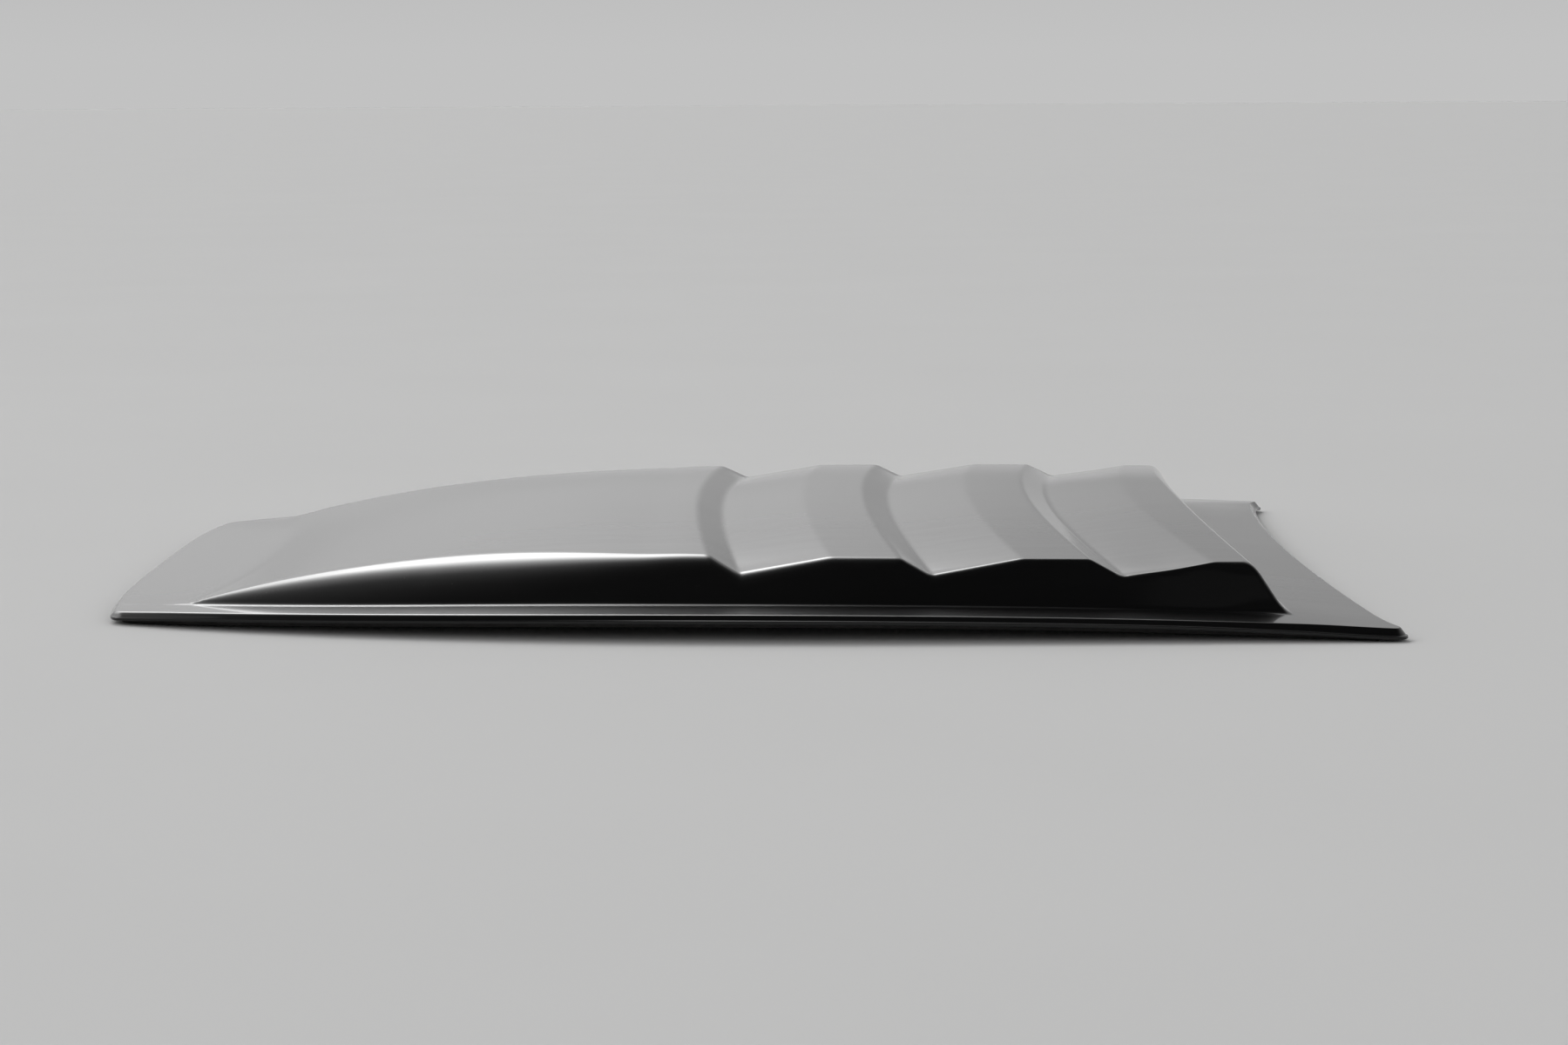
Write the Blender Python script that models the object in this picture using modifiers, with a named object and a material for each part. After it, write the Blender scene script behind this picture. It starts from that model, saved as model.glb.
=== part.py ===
"""Hood scoop: one thin-walled moulding with three louvre steps, a rubber
perimeter seal and four foam mounting strips.

Metres, +Z up.  X runs front to rear (front edge at -X, rear deck at +X),
Y across it, and the scoop is symmetric about Y = 0.  The origin is under the
middle of the scoop, on the plane its four corners stand on.
"""

import math

import bmesh
import bpy
import numpy as np

NAME = "hood_scoop"

# ---------------------------------------------------------------- dimensions
WALL = 0.0035            # moulded wall thickness
GAP = 0.0003             # free gap between touching pieces
FACET_SAG = 0.0015       # the most that a facet of the shell hangs below the true curve

# outline in plan
FRONT_X = -0.6445        # front edge on the centre line
FRONT_SWEEP = 0.0155     # how far the front edge runs back at its corners
FRONT_POWER = 4.6
REAR_X = 0.6045          # rear edge on the centre line
REAR_SWEEP = 0.0334      # how far the rear edge runs back at its corners
REAR_TIP = 0.0190        # how much further back the very corners reach
WIDTH_STATIONS = ((-0.5674, 0.4142), (-0.1374, 0.5217), (0.3126, 0.5435), (0.6926, 0.5604))
CORNER_FRONT, CORNER_REAR = 0.020, 0.012      # corner radii in plan

# rolled lip round the outline
LIP_TOP = 0.0125         # top of the lip over the panel below it
LIP_HEIGHT = 0.0085
LIP_ROLL = 0.0088        # reach of the roll outwards, from the rim to the outline
LIP_FACE = 0.0055        # drop of the roll from the rim to the outline
LIP_DEEPER = 0.0020      # extra depth of the lip at its rear end

# crown of the panel that the scoop stands on
CROWN_LONG = 0.0130
CROWN_MID = 0.0065
CROWN_SPAN = 0.6335
CROWN_FRONT = 0.0030
CROWN_REAR = 0.0083

# flange between the lip and the foot of the wall
FLANGE = 0.052
FLANGE_TILT_FRONT = 2.3  # degrees
FLANGE_TILT_REAR = 5.1

# top of the bulge
FRONT_FOOT = -0.5596     # where the bulge starts to rise
RISE_LENGTH = 0.475
RISE_HEIGHT = 0.0473
TOP_LEVEL = 0.0737       # level of the louvre peaks at X = -0.05
TOP_FALL = 0.0091        # fall of that level per metre
REAR_FOOT = 0.5300
REAR_FOOT_SWEEP = 0.016
REAR_ANGLE = math.radians(58.0)

# louvre steps: peak, then step down, rising ramp, and flat run to the next peak
PEAKS = (-0.0298, 0.1588, 0.3451)
STEP_LENGTH = 0.0280
RAMP_END = 0.1194
SAG = 0.0200             # forward bow of the louvre lines on the centre line
SAG_PER_M = 0.0318
STEP_DEPTH = 0.0116      # step depth on the centre line
STEP_DEPTH_EDGE = 0.0033 # extra depth at the shoulders

# perimeter seal and mounting strips, measured inwards from the outline
SEAL_OUT, SEAL_IN = 0.0125, 0.0205
STRIP_OUT, STRIP_IN = 0.024, 0.043


# ------------------------------------------------------- shape of the surface
def smoothstep(t):
    t = np.clip(t, 0.0, 1.0)
    return t * t * (3 - 2 * t)


def soft_min(a, b, k):
    k = np.maximum(k, 1e-6)
    h = np.clip(0.5 + 0.5 * (b - a) / k, 0.0, 1.0)
    return b * (1 - h) + a * h - k * h * (1 - h)


def soft_max(a, b, k):
    return -soft_min(-a, -b, k)


_X, _W = zip(*WIDTH_STATIONS)
WIDTH_POLY = np.polyfit(_X, _W, 3)


def half_width(x):
    """Half width of the outline: a cubic through the four stations."""
    return np.polyval(WIDTH_POLY, x)


def shoulder_inset(x):
    return 0.120 - 0.033 * smoothstep((x + 0.15) / 0.5)


def wall_slope(x):
    """Rise of the side wall per metre inwards: it leans less towards the front."""
    return np.tan(np.radians(41.0 + 10.7 * smoothstep((x + 0.25) / 0.5) + 5.3 * smoothstep((x - 0.33) / 0.10)))


def front_edge(v):
    return FRONT_X + FRONT_SWEEP * np.abs(v) ** FRONT_POWER


def rear_line(v):
    return REAR_X + REAR_SWEEP * v * v


def rear_edge(v):
    """The rear line, drawn out to a tip at each corner."""
    return rear_line(v) + REAR_TIP * np.abs(v) ** 24


def crown(x):
    return CROWN_LONG * (1 - ((x - CROWN_MID) / CROWN_SPAN) ** 2)


def panel(x, y):
    """The crowned panel under the scoop. It levels out at the four corners."""
    v = np.abs(y) / (half_width(x) - 0.024)
    along = CROWN_LONG * (1 - ((x - CROWN_MID) / (CROWN_SPAN - 0.030)) ** 2)
    across = (CROWN_FRONT + (CROWN_REAR - CROWN_FRONT) * smoothstep((x + 0.2) / 0.7)) * (1 - v * v)
    return np.maximum(along, 0.0) + np.maximum(across, 0.0)


def flange_slope(x):
    return np.tan(np.radians(FLANGE_TILT_FRONT + (FLANGE_TILT_REAR - FLANGE_TILT_FRONT) * smoothstep((x + 0.5) / 0.4)))


def base(x, y):
    """Flange and deck: what the scoop would be without its bulge."""
    width = half_width(x)
    v = np.abs(y) / width
    inset = width - np.abs(y)
    edge = LIP_TOP + crown(x)
    across = CROWN_FRONT + (CROWN_REAR - CROWN_FRONT) * smoothstep((x + 0.2) / 0.7)
    rise = 0.0008 + 0.0045 * smoothstep((x + 0.62) / 0.12) - 0.0050 * smoothstep((x - 0.49) / 0.13)
    return soft_min(edge + flange_slope(x) * inset, edge + rise + across * (1 - v * v), 0.003)


def louvre(x):
    """0 on the peaks and flats, -1 at the bottom of each step."""
    out = np.zeros_like(x)
    for peak in PEAKS:
        valley, ridge = peak + STEP_LENGTH, peak + RAMP_END
        out = np.where((x >= peak) & (x < valley), -(x - peak) / STEP_LENGTH, out)
        out = np.where((x >= valley) & (x < ridge), -(ridge - x) / (ridge - valley), out)
    return out


def surface(x, y):
    """Height of the outer surface."""
    floor = base(x, y)
    width = half_width(x)
    inset = width - np.abs(y)
    v = np.abs(y) / (width - shoulder_inset(x))
    k = 1 - v * v
    wall = (inset - FLANGE) * wall_slope(x)
    rear = math.tan(REAR_ANGLE) * (REAR_FOOT - REAR_FOOT_SWEEP * k - x)
    f = np.clip((x - FRONT_FOOT + 0.0129 * k) / RISE_LENGTH, 0.0, 1.0)
    rising = LIP_TOP + crown(x) + RISE_HEIGHT * (1 - (1 - f) ** 2.7)
    flat = TOP_LEVEL - TOP_FALL * (x + 0.05)
    level = rising + (flat - rising) * smoothstep((x + 0.10) / 0.06)
    last = smoothstep((x - 0.37) / 0.06)
    bow = 0.0154 * smoothstep(f * 1.1) - 0.0060 + 0.0018 * last
    xp = (x + SAG * k) / (1 - SAG_PER_M * k)
    depth = STEP_DEPTH + STEP_DEPTH_EDGE * np.clip(v, 0, 1) ** 5.4
    top = level - 0.0014 * last + bow * k + depth * louvre(xp) - floor
    lid = np.maximum(top, 1e-5)
    round_top = (0.035 - 0.0215 * smoothstep((x + 0.27) / 0.24) - 0.009 * np.clip((x + 0.05) / 0.47, 0.0, 1.0)
                 + 0.0080 * smoothstep((x - 0.44) / 0.06))
    bulge = soft_min(soft_min(wall, rear, 0.007), top, np.minimum(lid, round_top))
    foot = 0.003 + 0.010 * smoothstep((x - 0.46) / 0.06)
    return floor + soft_max(bulge, np.zeros_like(bulge), foot)


# ----------------------------------------------------------- grid of stations
def line_x(kind, value, v, k):
    """X of a line across the scoop at the across position v (k = 1 - v_shoulder^2)."""
    if kind == "front":
        return front_edge(v) + value
    if kind == "rear":
        return rear_edge(v) + value
    if kind == "foot":
        return FRONT_FOOT - 0.0129 * k + value
    if kind == "louvre":
        return value - (SAG + SAG_PER_M * value) * k
    return REAR_FOOT - REAR_FOOT_SWEEP * k + value - (0.011 * k / math.tan(REAR_ANGLE) if value < -0.02 else 0)


def keys_to_lines(keys):
    """Expands (kind, value, steps to the next key) to pairs of keys and a weight."""
    lines = []
    for (kind, value, steps), after in zip(keys, keys[1:] + [None]):
        for n in range(max(1, steps) if after else 1):
            lines.append(((kind, value), (after or (kind, value, 0))[:2], n / max(1, steps)))
    return lines


LINES = [("front", LIP_ROLL, 3), ("foot", 0.0, 8)]
for _peak in PEAKS:
    LINES += [("louvre", _peak, 1), ("louvre", _peak + STEP_LENGTH, 2)]
    LINES += [("louvre", _peak + RAMP_END, 1)]
LINES += [("tail", -0.044, 1), ("tail", -0.030, 1), ("tail", -0.008, 1), ("tail", 0.008, 2), ("rear", -LIP_ROLL, 0)]

ROWS = [("top", t) for t in (0.0, 0.22, 0.43, 0.62, 0.78, 0.90, 0.98)]
ROWS += [("wall", t) for t in (0.18, 0.55, 0.92)]
ROWS += [("flange", t) for t in (0.10, 0.55, 1.0)]


def row_y(kind, t, x):
    """Y of a row along the scoop at X."""
    width = half_width(x)
    shoulder, foot = width - shoulder_inset(x), width - FLANGE
    if kind == "top":
        return t * shoulder
    if kind == "wall":
        return shoulder + t * (foot - shoulder)
    return foot + t * (FLANGE - LIP_ROLL)


def station(line, row):
    """Where a line across and a row along the scoop cross."""
    (first, second, weight) = line
    x = np.float64(0.0)
    for _ in range(12):
        y = row[1] * 0 + row_y(row[0], row[1], x)
        v = y / half_width(x)
        k = max(0.0, 1 - (y / (half_width(x) - shoulder_inset(x))) ** 2)
        x = (1 - weight) * line_x(*first, v, k) + weight * line_x(*second, v, k)
    return float(x), float(y)


def rounded(points, columns, rows, inset):
    """Rounds the two outer corners of the half outline, and eases the points near them."""
    for corner in (0, columns - 1):
        step = 1 if corner == 0 else -1
        origin = points[corner, rows - 1].copy()
        along = points[corner + step, rows - 1] - origin
        across = points[corner, rows - 2] - origin
        along, across = along / np.linalg.norm(along), across / np.linalg.norm(across)
        half = math.acos(float(np.clip(along @ across, -1, 1))) / 2
        radius = (CORNER_FRONT if corner == 0 else CORNER_REAR) - inset
        reach = radius / math.tan(half)
        centre = origin + (along + across) / np.linalg.norm(along + across) * radius / math.sin(half)
        pull = centre + (origin - centre) / np.linalg.norm(origin - centre) * radius - origin
        for i in range(columns):
            for j in range(rows):
                a = np.linalg.norm(points[i, rows - 1] - origin)
                b = np.linalg.norm(points[corner, j] - origin)
                fade = max(0.0, 1 - a / (1.6 * reach)) ** 2 * max(0.0, 1 - b / (1.6 * reach)) ** 2
                if (i, j) != (corner, rows - 1):
                    points[i, j] += pull * fade
        points[corner, rows - 1] += pull


# ------------------------------------------------------------ scene utilities
def clear_scene():
    for obj in list(bpy.data.objects):
        bpy.data.objects.remove(obj, do_unlink=True)
    for block in (bpy.data.meshes, bpy.data.materials, bpy.data.cameras, bpy.data.lights):
        for item in list(block):
            block.remove(item)
    for extra in list(bpy.data.collections):
        bpy.data.collections.remove(extra)


def material(name, colour, roughness, specular=0.5):
    made = bpy.data.materials.new(name)
    made.use_nodes = True
    shader = made.node_tree.nodes["Principled BSDF"]
    shader.inputs["Base Color"].default_value = (*colour, 1.0)
    shader.inputs["Roughness"].default_value = roughness
    shader.inputs["Metallic"].default_value = 0.0
    shader.inputs["Specular IOR Level"].default_value = specular
    return made


def add_object(name, mesh, collection, finish, parent):
    obj = bpy.data.objects.new(name, mesh)
    mesh.materials.append(finish)
    collection.objects.link(obj)
    obj.parent = parent
    return obj


# --------------------------------------------------------------------- pieces
def build_shell(collection, parent, finish):
    """Half of the outer skin on a grid of stations, mirrored and given its wall."""
    lines = keys_to_lines(LINES)
    columns, rows = len(lines), len(ROWS)
    plan = np.array([[station(line, row) for row in ROWS] for line in lines])
    rounded(plan, columns, rows, LIP_ROLL)
    heights = surface(plan[..., 0], plan[..., 1])

    # two more rings carry the rolled lip: its outermost line and its lower edge
    bm = bmesh.new()
    bmesh.ops.create_grid(bm, x_segments=columns + 3, y_segments=rows + 1, size=1.0)
    bm.verts.ensure_lookup_table()
    placed = sorted(bm.verts, key=lambda p: (round(p.co.x, 5), round(p.co.y, 5)))
    across = rows + 2
    for index, vert in enumerate(placed):
        i, j = divmod(index, across)
        ci, cj = min(max(i - 2, 0), columns - 1), min(j, rows - 1)
        x, y = plan[ci, cj]
        z = heights[ci, cj]
        over = max(abs(i - 2 - ci), j - cj)      # 0 on the skin, 1 and 2 on the lip
        if over:
            out_x, out_y = float(np.sign(i - 2 - ci)), float(j > cj)
            slope = (half_width(x + 1e-4) - half_width(x - 1e-4)) / 2e-4
            side = np.array([-slope, 1.0]) / math.hypot(slope, 1.0) * out_y
            end = np.array([out_x, 0.0])
            out = side + end
            if out_x and out_y:
                out = out / np.linalg.norm(out)
            x, y = np.array([x, y]) + out * LIP_ROLL
            z -= LIP_FACE if over == 1 else LIP_HEIGHT
            z -= LIP_DEEPER * float(smoothstep((x - 0.42) / 0.18))
        vert.co = (x, 0.0 if j == 0 else y, z)
    # the lip's corner cells fold to nothing once both rings meet there
    bmesh.ops.remove_doubles(bm, verts=bm.verts, dist=1e-5)
    bmesh.ops.dissolve_degenerate(bm, edges=bm.edges, dist=1e-6)
    bmesh.ops.recalc_face_normals(bm, faces=bm.faces)
    if sum(face.normal.z * face.calc_area() for face in bm.faces) < 0:
        bmesh.ops.reverse_faces(bm, faces=bm.faces)
    mesh = bpy.data.meshes.new("scoop_shell")
    bm.to_mesh(mesh)
    bm.free()
    obj = add_object("scoop_shell", mesh, collection, finish, parent)

    mirror = obj.modifiers.new("Both sides", "MIRROR")
    mirror.use_axis = (False, True, False)
    mirror.use_clip = True
    mirror.merge_threshold = 0.0001
    wall = obj.modifiers.new("Wall", "SOLIDIFY")
    wall.thickness = WALL
    wall.offset = -1.0
    wall.use_even_offset = True
    wall.use_rim = True
    mesh.shade_smooth()
    mesh.set_sharp_from_angle(angle=math.radians(28))
    return obj


def corner(end, inset):
    """Where the outline's offset lines meet near the front (-1) or rear (+1) corner."""
    x = 0.6 * end
    for _ in range(40):
        slope = (half_width(x + 1e-4) - half_width(x - 1e-4)) / 2e-4
        y = half_width(x) - inset * math.hypot(slope, 1.0)
        v = y / half_width(x)
        x = front_edge(v) + inset if end < 0 else rear_line(v) - inset
    return float(x), float(y)


def side_point(x, inset):
    slope = (half_width(x + 1e-4) - half_width(x - 1e-4)) / 2e-4
    return x, float(half_width(x) - inset * math.hypot(slope, 1.0))


def end_point(end, y, inset):
    x = 0.6 * end
    for _ in range(20):
        v = abs(y) / half_width(x)
        x = front_edge(v) + inset if end < 0 else rear_line(v) - inset
    return float(x), y


def loop(inset, along, across):
    """Points round the outline at this inset: near side, rear, far side, front."""
    (x0, y0), (x1, y1) = corner(-1, inset), corner(1, inset)
    side = [side_point(x0 + (x1 - x0) * n / along, inset) for n in range(along)]
    rear = [end_point(1, y1 * (1 - 2 * n / across), inset) for n in range(across)]
    back = [(x, -y) for x, y in [side_point(x1 + (x0 - x1) * n / along, inset) for n in range(along)]]
    front = [end_point(-1, y0 * (2 * n / across - 1), inset) for n in range(across)]
    return side + rear + back + front


def underside(x, y):
    """Inner face of the shell over the flange, less the free gap and the facets' sag."""
    return surface(x, y) - WALL / math.cos(math.radians(FLANGE_TILT_REAR)) - GAP - FACET_SAG


def raise_strip(name, plan, closed, collection, parent, finish):
    """A strip two points wide: laid on the panel, and drawn up to the shell's inner face."""
    count = len(plan)
    bm = bmesh.new()
    bmesh.ops.create_grid(bm, x_segments=count if closed else count - 1, y_segments=1, size=1.0)
    placed = sorted(bm.verts, key=lambda p: (round(p.co.x, 5), round(p.co.y, 5)))
    for index, vert in enumerate(placed):
        i, j = divmod(index, 2)
        x, y = plan[i % count][j]
        vert.co = (x, y, panel(x, y))
    if closed:
        bmesh.ops.remove_doubles(bm, verts=bm.verts, dist=1e-6)
    raised = bmesh.ops.extrude_face_region(bm, geom=bm.faces[:], use_keep_orig=True)
    for vert in (item for item in raised["geom"] if isinstance(item, bmesh.types.BMVert)):
        vert.co.z = underside(vert.co.x, vert.co.y)
    bmesh.ops.recalc_face_normals(bm, faces=bm.faces)
    mesh = bpy.data.meshes.new(name)
    bm.to_mesh(mesh)
    bm.free()
    mesh.shade_smooth()
    mesh.set_sharp_from_angle(angle=math.radians(30))
    return add_object(name, mesh, collection, finish, parent)


def build_seal(collection, parent, finish):
    outer, inner = loop(SEAL_OUT, 24, 16), loop(SEAL_IN, 24, 16)
    return raise_strip("edge_seal", list(zip(outer, inner)), True, collection, parent, finish)


def build_strips(collection, parent, finish):
    steps = 16
    for name, sign in (("mounting_strip_near", -1.0), ("mounting_strip_far", 1.0)):
        plan = []
        for n in range(steps + 1):
            x = -0.520 + 1.080 * n / steps
            pair = (side_point(x, STRIP_OUT), side_point(x, STRIP_IN))
            plan.append(tuple((px, py * sign) for px, py in pair))
        raise_strip(name, plan, False, collection, parent, finish)
    for name, end, reach in (("mounting_strip_front", -1, 0.300), ("mounting_strip_rear", 1, 0.440)):
        plan = []
        for n in range(steps - 3):
            y = -reach + 2 * reach * n / (steps - 4)
            plan.append((end_point(end, y, STRIP_OUT), end_point(end, y, STRIP_IN)))
        raise_strip(name, plan, False, collection, parent, finish)


def main():
    clear_scene()
    scene = bpy.context.scene
    scene.unit_settings.system = "METRIC"
    collection = bpy.data.collections.new(NAME)
    scene.collection.children.link(collection)
    root = bpy.data.objects.new(NAME + "_root", None)
    collection.objects.link(root)

    plastic = material("satin_black_plastic", (0.012, 0.012, 0.013), 0.22, 0.45)
    rubber = material("black_rubber", (0.010, 0.010, 0.010), 0.75, 0.3)
    foam = material("dark_foam", (0.035, 0.035, 0.038), 0.92, 0.2)
    shell = build_shell(collection, root, plastic)
    build_seal(collection, root, rubber)
    build_strips(collection, root, foam)

    # the outline is centred over the origin along X
    ends = [vert.co.x for vert in shell.data.vertices]
    root.location.x = -(min(ends) + max(ends)) / 2


main()
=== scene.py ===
import math

import bmesh
import bpy
import numpy as np
from mathutils import Matrix, Vector


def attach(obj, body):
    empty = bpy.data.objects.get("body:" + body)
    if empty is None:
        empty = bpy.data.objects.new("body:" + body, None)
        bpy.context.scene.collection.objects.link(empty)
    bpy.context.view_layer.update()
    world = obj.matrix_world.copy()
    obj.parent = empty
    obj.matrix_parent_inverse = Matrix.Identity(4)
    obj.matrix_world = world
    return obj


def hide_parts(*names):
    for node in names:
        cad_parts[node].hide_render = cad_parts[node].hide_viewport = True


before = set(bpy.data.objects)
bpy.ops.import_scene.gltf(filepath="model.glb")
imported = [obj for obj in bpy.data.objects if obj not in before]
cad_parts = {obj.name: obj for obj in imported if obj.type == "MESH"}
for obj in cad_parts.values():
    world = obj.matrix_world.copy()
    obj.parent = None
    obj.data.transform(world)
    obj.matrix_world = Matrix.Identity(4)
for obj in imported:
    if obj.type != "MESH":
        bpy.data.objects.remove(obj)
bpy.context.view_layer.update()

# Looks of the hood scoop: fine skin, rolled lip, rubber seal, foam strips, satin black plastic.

SHIFT_X = -0.001333          # the outline is centred over the origin along X

# ------------------------------------------------------------------ camera
CAM = (0.0476, -3.965, 0.5215)
PITCH, YAW, ROLL = 0.1175, -0.0005, -0.0055
FOCAL_PX = 4150.0

cam_data = bpy.data.cameras.new("camera")
cam_data.sensor_fit = "HORIZONTAL"
cam_data.sensor_width = 36.0
cam_data.lens = FOCAL_PX / 1800.0 * 36.0
cam_data.clip_start, cam_data.clip_end = 0.05, 200.0
camera = bpy.data.objects.new("camera", cam_data)
bpy.context.scene.collection.objects.link(camera)
forward = Vector((math.sin(YAW) * math.cos(PITCH), math.cos(YAW) * math.cos(PITCH), -math.sin(PITCH)))
right = Vector((math.cos(YAW), -math.sin(YAW), 0.0))
up = right.cross(forward)
right, up = (right * math.cos(ROLL) + up * math.sin(ROLL), up * math.cos(ROLL) - right * math.sin(ROLL))
turn = Matrix((right, up, -forward)).transposed().to_4x4()
camera.matrix_world = Matrix.Translation(Vector(CAM) + Vector((SHIFT_X, 0, 0))) @ turn
bpy.context.scene.camera = camera

# ------------------------------------------------------- shape of the surface
FRONT_X, FRONT_SWEEP, FRONT_POWER = -0.6445, 0.0155, 4.6
REAR_X, REAR_SWEEP, REAR_TIP = 0.6045, 0.0334, 0.0190
WIDTH_STATIONS = ((-0.5674, 0.4142), (-0.1374, 0.5217), (0.3126, 0.5435), (0.6926, 0.5604))
CORNER_FRONT, CORNER_REAR = 0.026, 0.016
LIP_TOP, LIP_HEIGHT, LIP_ROLL = 0.0125, 0.0085, 0.0088
WALL = 0.0035
CROWN_LONG, CROWN_MID, CROWN_SPAN = 0.0130, 0.0065, 0.6335
CROWN_FRONT, CROWN_REAR = 0.0030, 0.0083
FLANGE, FLANGE_TILT_FRONT, FLANGE_TILT_REAR = 0.052, 2.3, 5.1
FRONT_FOOT, RISE_LENGTH, RISE_HEIGHT = -0.5596, 0.475, 0.0473
TOP_LEVEL, TOP_FALL = 0.0737, 0.0091
REAR_FOOT, REAR_FOOT_SWEEP, REAR_ANGLE = 0.5300, 0.016, math.radians(58.0)
PEAKS = (-0.0298, 0.1588, 0.3451)
STEP_LENGTH, RAMP_END = 0.0280, 0.1194
SAG, SAG_PER_M = 0.0200, 0.0318
STEP_DEPTH, STEP_DEPTH_EDGE = 0.0116, 0.0033
LINE_R = 0.0045              # rounding of the louvre lines
SEAL_OUT, SEAL_IN = 0.0125, 0.0205
STRIP_OUT, STRIP_IN = 0.024, 0.043
LIP_LEAN = 52.0              # lean of the lip's face, in degrees
LIP_LEDGE_FRONT, LIP_LEDGE_REAR = 47.0, 22.0
LIP_IN = 0.0009              # the fine outline lies this far inside the coarse one
LIP_DEEPER = 0.0020


def smoothstep(t):
    t = np.clip(t, 0.0, 1.0)
    return t * t * (3 - 2 * t)


def soft_min(a, b, k):
    k = np.maximum(k, 1e-6)
    h = np.clip(0.5 + 0.5 * (b - a) / k, 0.0, 1.0)
    return b * (1 - h) + a * h - k * h * (1 - h)


def soft_max(a, b, k):
    return -soft_min(-a, -b, k)


_X, _W = zip(*WIDTH_STATIONS)
WIDTH_POLY = np.polyfit(_X, _W, 3)


def half_width(x):
    return np.polyval(WIDTH_POLY, x)


def shoulder_inset(x):
    return 0.120 - 0.033 * smoothstep((x + 0.15) / 0.5)


def wall_slope(x):
    """Rise of the side wall per metre inwards: it leans less towards the front."""
    return np.tan(np.radians(41.0 + 10.7 * smoothstep((x + 0.25) / 0.5) + 5.3 * smoothstep((x - 0.33) / 0.10)))


def front_edge(v):
    return FRONT_X + FRONT_SWEEP * np.abs(v) ** FRONT_POWER


def rear_edge(v):
    return REAR_X + REAR_SWEEP * v * v + REAR_TIP * np.abs(v) ** 24


def crown(x):
    return CROWN_LONG * (1 - ((x - CROWN_MID) / CROWN_SPAN) ** 2)


def panel(x, y):
    v = np.abs(y) / (half_width(x) - 0.024)
    along = CROWN_LONG * (1 - ((x - CROWN_MID) / (CROWN_SPAN - 0.030)) ** 2)
    across = (CROWN_FRONT + (CROWN_REAR - CROWN_FRONT) * smoothstep((x + 0.2) / 0.7)) * (1 - v * v)
    return np.maximum(along, 0.0) + np.maximum(across, 0.0)


def flange_slope(x):
    return np.tan(np.radians(FLANGE_TILT_FRONT + (FLANGE_TILT_REAR - FLANGE_TILT_FRONT) * smoothstep((x + 0.5) / 0.4)))


def base(x, y):
    width = half_width(x)
    v = np.abs(y) / width
    inset = width - np.abs(y)
    edge = LIP_TOP + crown(x)
    across = CROWN_FRONT + (CROWN_REAR - CROWN_FRONT) * smoothstep((x + 0.2) / 0.7)
    rise = 0.0008 + 0.0045 * smoothstep((x + 0.62) / 0.12) - 0.0050 * smoothstep((x - 0.49) / 0.13)
    return soft_min(edge + flange_slope(x) * inset, edge + rise + across * (1 - v * v), 0.003)


def louvre(x):
    out = np.zeros_like(x)
    for peak in PEAKS:
        valley, ridge = peak + STEP_LENGTH, peak + RAMP_END
        out = np.where((x >= peak) & (x < valley), -(x - peak) / STEP_LENGTH, out)
        out = np.where((x >= valley) & (x < ridge), -(ridge - x) / (ridge - valley), out)
    return out


def louvre_rounded(x):
    steps = np.linspace(-1, 1, 13)
    weights = 1 - steps ** 2
    return sum(w * louvre(x + LINE_R * 1.25 * s) for s, w in zip(steps, weights)) / weights.sum()


def surface(x, y):
    floor = base(x, y)
    width = half_width(x)
    inset = width - np.abs(y)
    v = np.abs(y) / (width - shoulder_inset(x))
    k = 1 - v * v
    wall = (inset - FLANGE) * wall_slope(x)
    rear = math.tan(REAR_ANGLE) * (REAR_FOOT - REAR_FOOT_SWEEP * k - x)
    f = np.clip((x - FRONT_FOOT + 0.0129 * k) / RISE_LENGTH, 0.0, 1.0)
    rising = LIP_TOP + crown(x) + RISE_HEIGHT * (1 - (1 - f) ** 2.7)
    flat = TOP_LEVEL - TOP_FALL * (x + 0.05)
    level = rising + (flat - rising) * smoothstep((x + 0.10) / 0.06)
    last = smoothstep((x - 0.37) / 0.06)
    bow = 0.0154 * smoothstep(f * 1.1) - 0.0060 + 0.0018 * last
    xp = (x + SAG * k) / (1 - SAG_PER_M * k)
    depth = STEP_DEPTH + STEP_DEPTH_EDGE * np.clip(v, 0, 1) ** 5.4
    top = level - 0.0014 * last + bow * k + depth * louvre_rounded(xp) - floor
    top = top - 0.0045 * (1 - smoothstep((x - FRONT_FOOT + 0.035) / 0.060))
    lid = np.maximum(top, 1e-5)
    round_top = (0.035 - 0.0215 * smoothstep((x + 0.27) / 0.24) - 0.009 * np.clip((x + 0.05) / 0.47, 0.0, 1.0)
                 + 0.0080 * smoothstep((x - 0.44) / 0.06))
    bulge = soft_min(soft_min(wall, rear, 0.010), top, np.minimum(lid, round_top))
    foot = 0.003 + 0.010 * smoothstep((x - 0.46) / 0.06)
    return floor + soft_max(bulge, np.zeros_like(bulge), foot)


# ---------------------------------------------------------- fine skin: plan
CORNER_STEPS = (0.0, 0.0010, 0.0020, 0.0031, 0.0043, 0.0056, 0.0070, 0.0088, 0.0110, 0.0138, 0.0172, 0.0215, 0.0270)


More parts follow.
